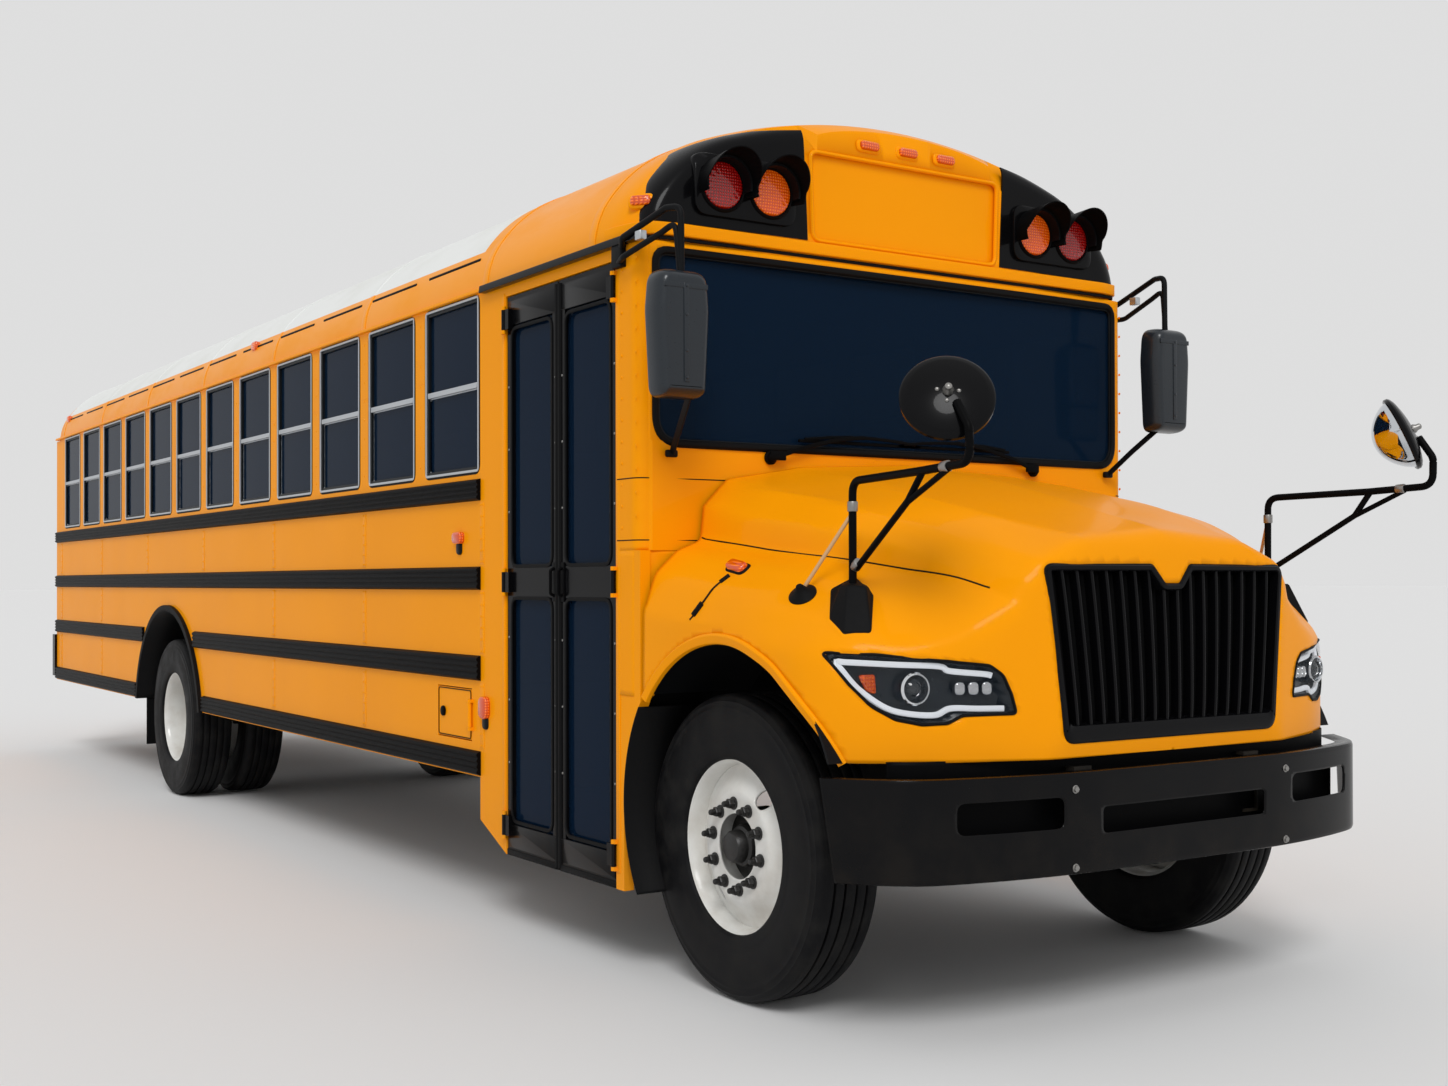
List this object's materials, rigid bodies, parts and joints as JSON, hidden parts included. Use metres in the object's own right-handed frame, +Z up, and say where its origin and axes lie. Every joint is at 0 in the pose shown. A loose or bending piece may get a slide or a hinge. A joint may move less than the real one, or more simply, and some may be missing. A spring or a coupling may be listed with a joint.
{
  "type": "school bus",
  "caption": "Bonneted school bus with tilting hood, steered front wheels, twin rear wheels, folding entrance doors, stop arm, roof hatches and a rear emergency door.",
  "frame": {"origin": "on the ground, below the middle of the bus's bounding box", "axes": "-Y is forward, +X is the driver's (left) side, +Z is up"},
  "size_m": [2.6, 11.3261, 3.225],
  "materials": {
    "body_paint": "gloss",
    "roof_paint": "satin",
    "black_paint": "gloss",
    "chassis_paint": "satin",
    "engine_iron": "matt",
    "bare_steel": "satin",
    "aluminium": "satin",
    "glass": "gloss",
    "lamp_glass": "gloss",
    "amber_lens": "gloss",
    "red_lens": "gloss",
    "sign_red": "satin",
    "black_plastic": "satin",
    "rubber": "matt",
    "tyre": "matt",
    "wheel_paint": "gloss",
    "seat_vinyl": "satin",
    "seat_frame": "satin"
  },
  "bodies": {
    "body": {"frame_rails": "chassis_paint", "crossmembers": "chassis_paint", "floor": "chassis_paint", "roof": "roof_paint", "front_cap": "body_paint", "rear_cap": "body_paint", "side_wall_left": "body_paint", "side_wall_right": "body_paint", "cowl": "body_paint", "rear_wall": "body_paint", "window_frames": "aluminium", "body_glass": "glass", "rub_rails": "black_paint", "rubber_trims": "rubber", "front_bumper": "black_paint", "rear_bumper": "black_paint", "amber_lamps": "amber_lens", "red_lamps": "red_lens", "lamp_hoods": "black_plastic", "side_mirrors": "black_plastic", "wipers": "black_plastic", "front_axle": "chassis_paint", "rear_axle": "chassis_paint", "leaf_springs": "chassis_paint", "engine": "engine_iron", "radiator": "aluminium", "drive_shaft": "bare_steel", "fuel_tank": "black_paint", "exhaust": "bare_steel", "battery_box": "black_plastic", "seats": "seat_vinyl", "seat_frames": "seat_frame", "dashboard": "black_plastic"},
    "hood": {"hood": "body_paint", "grille": "black_paint", "headlamps": "lamp_glass", "hood_liners": "black_plastic", "cross_mirrors": "black_plastic"},
    "knuckle_left": {"knuckle_left": "chassis_paint"},
    "knuckle_right": {"knuckle_right": "chassis_paint"},
    "tie_rod": {"tie_rod": "bare_steel"},
    "front_wheel_left": {"front_tyre_left": "tyre", "front_rim_left": "wheel_paint"},
    "front_wheel_right": {"front_tyre_right": "tyre", "front_rim_right": "wheel_paint"},
    "rear_wheels_left": {"rear_tyres_left": "tyre", "rear_rim_left": "wheel_paint"},
    "rear_wheels_right": {"rear_tyres_right": "tyre", "rear_rim_right": "wheel_paint"},
    "steering_wheel": {"steering_wheel": "black_plastic"},
    "entry_leaf_front": {"entry_leaf_front": "black_paint", "entry_glass_front": "glass"},
    "entry_leaf_rear": {"entry_leaf_rear": "black_paint", "entry_glass_rear": "glass"},
    "rear_door": {"rear_door": "body_paint", "rear_door_glass": "glass"},
    "roof_hatch_front": {"roof_hatch_front": "roof_paint"},
    "roof_hatch_rear": {"roof_hatch_rear": "roof_paint"},
    "battery_door": {"battery_door": "body_paint"},
    "stop_arm": {"stop_arm": "sign_red"}
  },
  "joints": [
    {"name": "hood_tilt", "type": "hinge", "parent": "body", "child": "hood", "pos_m": [0, -5.465, 0.84], "axis": [1, 0, 0], "range_deg": [0, 75]},
    {"name": "steer_left", "type": "hinge", "parent": "body", "child": "knuckle_left", "pos_m": [0.9, -4.5, 0.51], "axis": [0, 0, 1], "range_deg": [-38, 38]},
    {"name": "steer_right", "type": "hinge", "parent": "body", "child": "knuckle_right", "pos_m": [-0.9, -4.5, 0.51], "axis": [0, 0, 1], "range_deg": [-38, 38]},
    {"name": "tie_rod_swing", "type": "hinge", "parent": "knuckle_left", "child": "tie_rod", "pos_m": [0.9, -4.35, 0.414], "axis": [0, 0, 1], "range_deg": [-38, 38]},
    {"name": "steering_wheel_turn", "type": "hinge", "parent": "body", "child": "steering_wheel", "pos_m": [0.55, -3.6, 1.75], "axis": [0, 0.6428, 0.766], "range_deg": [-720, 720]},
    {"name": "front_wheel_left_spin", "type": "hinge", "parent": "knuckle_left", "child": "front_wheel_left", "pos_m": [0.96, -4.5, 0.51], "axis": [1, 0, 0], "continuous": true},
    {"name": "front_wheel_right_spin", "type": "hinge", "parent": "knuckle_right", "child": "front_wheel_right", "pos_m": [-0.96, -4.5, 0.51], "axis": [1, 0, 0], "continuous": true},
    {"name": "rear_wheels_left_spin", "type": "hinge", "parent": "body", "child": "rear_wheels_left", "pos_m": [0.9, 1.95, 0.51], "axis": [1, 0, 0], "continuous": true},
    {"name": "rear_wheels_right_spin", "type": "hinge", "parent": "body", "child": "rear_wheels_right", "pos_m": [-0.9, 1.95, 0.51], "axis": [1, 0, 0], "continuous": true},
    {"name": "entry_front_swing", "type": "hinge", "parent": "body", "child": "entry_leaf_front", "pos_m": [-1.211, -3.953, 1.4], "axis": [0, 0, 1], "range_deg": [0, 88]},
    {"name": "entry_rear_swing", "type": "hinge", "parent": "body", "child": "entry_leaf_rear", "pos_m": [-1.211, -3.067, 1.4], "axis": [0, 0, 1], "range_deg": [-88, 0]},
    {"name": "rear_door_swing", "type": "hinge", "parent": "body", "child": "rear_door", "pos_m": [-0.46, 5.611, 1.735], "axis": [0, 0, 1], "range_deg": [0, 110]},
    {"name": "roof_hatch_front_tilt", "type": "hinge", "parent": "body", "child": "roof_hatch_front", "pos_m": [0, -1.508, 3.184], "axis": [1, 0, 0], "range_deg": [0, 70]},
    {"name": "roof_hatch_rear_tilt", "type": "hinge", "parent": "body", "child": "roof_hatch_rear", "pos_m": [0, 3.592, 3.184], "axis": [1, 0, 0], "range_deg": [0, 70]},
    {"name": "battery_door_swing", "type": "hinge", "parent": "body", "child": "battery_door", "pos_m": [-1.211, -2.738, 0.836], "axis": [0, 0, 1], "range_deg": [0, 100]},
    {"name": "stop_arm_swing", "type": "hinge", "parent": "body", "child": "stop_arm", "pos_m": [1.23, -3.72, 1.5], "axis": [0, 0, -1], "range_deg": [0, 90]}
  ],
  "couplings": [
    {"joint": "steer_right", "follows": "steer_left", "ratio": 1},
    {"joint": "tie_rod_swing", "follows": "steer_left", "ratio": -1},
    {"joint": "steering_wheel_turn", "follows": "steer_left", "ratio": 18},
    {"joint": "entry_rear_swing", "follows": "entry_front_swing", "ratio": -1}
  ]
}
